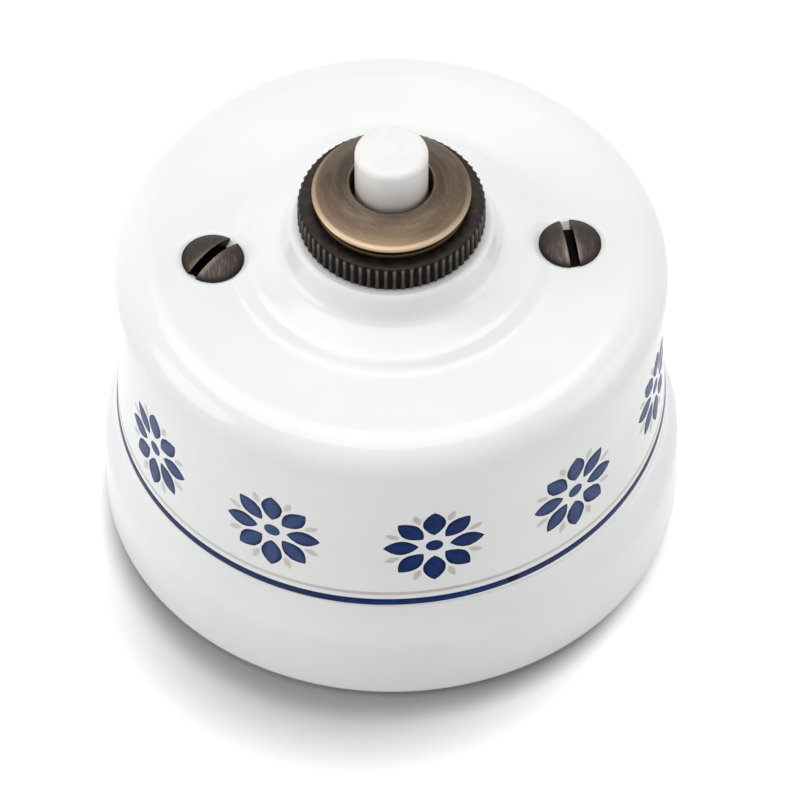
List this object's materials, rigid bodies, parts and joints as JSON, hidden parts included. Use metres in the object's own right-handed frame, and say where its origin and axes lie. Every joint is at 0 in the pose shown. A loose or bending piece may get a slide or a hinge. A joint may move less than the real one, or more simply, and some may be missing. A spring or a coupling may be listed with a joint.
{
  "type": "pushbutton switch",
  "caption": "Round surface-mounted pushbutton switch in white porcelain with a blue flower band, a knurled dark bronze ring, a brass rosette and a white button.",
  "frame": {"origin": "centre of the back, on the wall plane", "axes": "+Z out of the wall along the button's travel; +X through the right cover screw"},
  "size_m": [0.065, 0.065, 0.0562],
  "materials": {
    "glazed_porcelain": "white glossy glaze",
    "blue_enamel": "glossy overglaze enamel",
    "beige_enamel": "glossy overglaze enamel",
    "dark_bronze": "dark patinated brass, satin",
    "aged_brass": "aged brass, finely brushed in circles",
    "white_button": "smooth white, glossy",
    "plain_brass": "plain machined brass",
    "silver_contact": "bright silver facing",
    "black_moulding": "moulded thermoset, matt",
    "zinc_steel": "bright zinc plate"
  },
  "bodies": {
    "switch": {"porcelain_base": "glazed_porcelain", "porcelain_cover": "glazed_porcelain", "button_bush": "plain_brass", "knurled_ring_nut": "dark_bronze", "brass_rosette": "aged_brass", "return_spring": "zinc_steel", "contact_block": "black_moulding", "contact_block_lid": "black_moulding", "fixed_contact_left": "plain_brass", "fixed_contact_right": "plain_brass", "fixed_tips": "silver_contact", "wire_terminal_left": "plain_brass", "wire_terminal_right": "plain_brass", "clamp_screws": "zinc_steel", "cover_pillar_left": "plain_brass", "cover_pillar_right": "plain_brass", "cover_screw_left": "dark_bronze", "cover_screw_right": "dark_bronze", "pillar_screws": "zinc_steel", "block_screws": "zinc_steel", "lid_screws": "zinc_steel", "painted_blue_line": "blue_enamel", "painted_beige_line": "beige_enamel", "painted_petals": "blue_enamel", "painted_leaves": "beige_enamel", "painted_flower_eyes": "blue_enamel"},
    "button": {"push_button": "white_button", "plunger": "white_button", "bridge_contact": "plain_brass", "bridge_tips": "silver_contact"}
  },
  "joints": [
    {"name": "button_press", "type": "slide", "parent": "switch", "child": "button", "axis": [0, 0, -1], "range_m": [0, 0.003], "stiffness_N_per_m": 500, "springref_m": -0.003, "deforming": ["return_spring"]}
  ]
}
